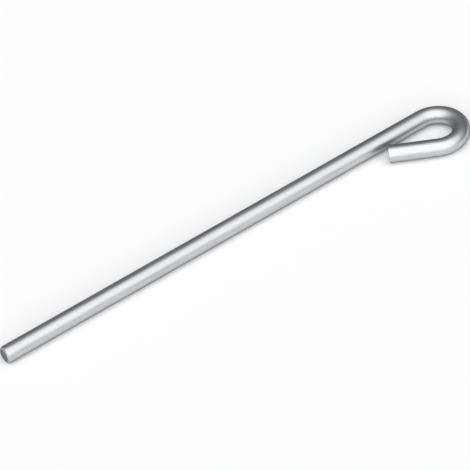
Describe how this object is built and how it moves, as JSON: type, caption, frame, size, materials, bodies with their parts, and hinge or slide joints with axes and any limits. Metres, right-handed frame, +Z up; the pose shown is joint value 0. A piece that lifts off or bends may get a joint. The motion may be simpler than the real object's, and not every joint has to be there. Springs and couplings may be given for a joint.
{
  "type": "eye rod",
  "caption": "Plain round steel rod with one end bent round into an open teardrop eye for a pin, hook or shackle.",
  "frame": {"origin": "middle of the outline, on the surface that the rod lies on", "axes": "+X along the shank towards the eye, +Y towards the shank's side, with the eye bent towards -Y, +Z up from the surface that the rod lies on"},
  "size_m": [0.3, 0.038, 0.01],
  "materials": {
    "steel": "bright drawn, smooth"
  },
  "bodies": {
    "root": {"eye_rod": "steel"}
  },
  "joints": []
}
